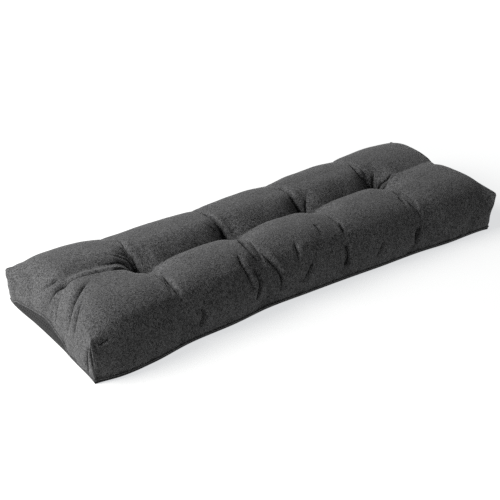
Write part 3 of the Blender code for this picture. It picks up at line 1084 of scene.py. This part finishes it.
def make_camera():
    flat = math.cos(ELEVATION)
    back = Vector((math.sin(AZIMUTH) * flat, -math.cos(AZIMUTH) * flat, math.sin(ELEVATION)))
    level = Vector((0, 0, 1)).cross(back).normalized()
    upright = back.cross(level)
    right = math.cos(ROLL) * level + math.sin(ROLL) * upright
    up = -math.sin(ROLL) * level + math.cos(ROLL) * upright
    eye = right * SIDEWAYS + up * UPWARDS + back * DISTANCE + CENTRING
    camera = bpy.data.objects.new("camera", bpy.data.cameras.new("camera"))
    camera.data.lens = FOCAL_PIXELS / PICTURE * SENSOR
    camera.data.sensor_width = SENSOR
    rows = [(right[axis], up[axis], back[axis], eye[axis]) for axis in range(3)]
    camera.matrix_world = Matrix(rows + [(0, 0, 0, 1)])
    bpy.context.scene.collection.objects.link(camera)
    bpy.context.scene.camera = camera


KEY_TOWARDS = (-0.72, 0.38, 0.58)
KEY_DISTANCE = 4.0
KEY_SIZE = 2.7
KEY_POWER = 372
AMBIENT = 0.12


def make_light(name, towards, distance, size, power):
    light = bpy.data.lights.new(name, "AREA")
    light.size = size
    light.energy = power
    made = bpy.data.objects.new(name, light)
    place = Vector(towards).normalized() * distance
    made.location = place
    made.rotation_mode = "QUATERNION"
    made.rotation_quaternion = (-place).to_track_quat("-Z", "Y")
    bpy.context.scene.collection.objects.link(made)


FLOOR_TONES = ((0.32, 0.315, 0.30, 1), (0.33, 0.325, 0.31, 1))
FLOOR_ROUGHNESS = 0.9
FLOOR_LIGHT = (0.97, 0.985, 1.0, 1)
FLOOR_GLOW = 0.69
GLOW_RISES_FROM = 0.8
GLOW_FULL_AT = 2.0
FLOOR_HALF = 12


def make_floor():
    """A pale floor that glows a little, so that its shadow stays as faint as under lights all round."""
    n = Nodes("pale_floor")
    place = n.add("ShaderNodeTexCoord").outputs["Object"]
    n.put(n.shader, Base_Color=n.mix(n.noise(place, *FLOOR_NOISE), *FLOOR_TONES))
    n.shader.inputs["Roughness"].default_value = FLOOR_ROUGHNESS
    n.shader.inputs["Specular IOR Level"].default_value = 0.0
    n.shader.inputs["Emission Color"].default_value = FLOOR_LIGHT
    from_middle = n.add("ShaderNodeVectorMath", operation="LENGTH")
    n.put(from_middle, s0=place)
    glow = n.add("ShaderNodeMapRange")
    n.put(glow, Value=from_middle.outputs["Value"])
    glow.inputs["From Min"].default_value = GLOW_RISES_FROM
    glow.inputs["From Max"].default_value = GLOW_FULL_AT
    glow.inputs["To Min"].default_value = FLOOR_GLOW
    glow.inputs["To Max"].default_value = 1.0
    n.put(n.shader, Emission_Strength=glow.outputs["Result"])
    mesh = bmesh.new()
    bmesh.ops.create_grid(mesh, x_segments=4, y_segments=4, size=FLOOR_HALF)
    floor = add_object("floor", mesh, n.material)


def make_world():
    """White to look at, and a weak light on the cloth."""
    world = bpy.data.worlds.new("studio")
    bpy.context.scene.world = world
    world.use_nodes = True
    tree = world.node_tree
    background = tree.nodes["Background"]
    background.inputs["Color"].default_value = (1, 1, 1, 1)
    seen = tree.nodes.new("ShaderNodeLightPath")
    strength = tree.nodes.new("ShaderNodeMapRange")
    tree.links.new(seen.outputs["Is Camera Ray"], strength.inputs["Value"])
    strength.inputs["To Min"].default_value = AMBIENT
    strength.inputs["To Max"].default_value = 1.0
    tree.links.new(strength.outputs["Result"], background.inputs["Strength"])


DARK_YARN = 0.006
LIGHT_YARN = 0.106
# The seam's light yarn is a little lighter than the cover's: a painted highlight along its raised edge, on
# the same cloth.
SEAM_HIGHLIT_YARN = 0.11
BASE_TONE = 0.025
DOT_TONE = 0.002
THREAD_TONE = 0.012

cover, corners = make_cover(heather_cloth("charcoal_heather", DARK_YARN, LIGHT_YARN))
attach(cover, "root")
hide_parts("cushion")

base = make_base(dotted_cloth("dotted_base", BASE_TONE, DOT_TONE))
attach(base, "root")
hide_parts("base_panel")

# The seam is the cover's cloth with its light yarn a little lighter, a painted highlight on the raised edge.
seam = make_seam(heather_cloth("seam_heather_highlit", DARK_YARN, SEAM_HIGHLIT_YARN))
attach(seam, "root")

stitches = make_stitches(thread("dark_thread", THREAD_TONE), cover, corners)
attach(stitches, "root")

make_camera()
make_floor()
make_world()
make_light("key", KEY_TOWARDS, KEY_DISTANCE, KEY_SIZE, KEY_POWER)
bpy.context.scene.view_settings.view_transform = "Standard"
bpy.context.scene.cycles.use_denoising = False
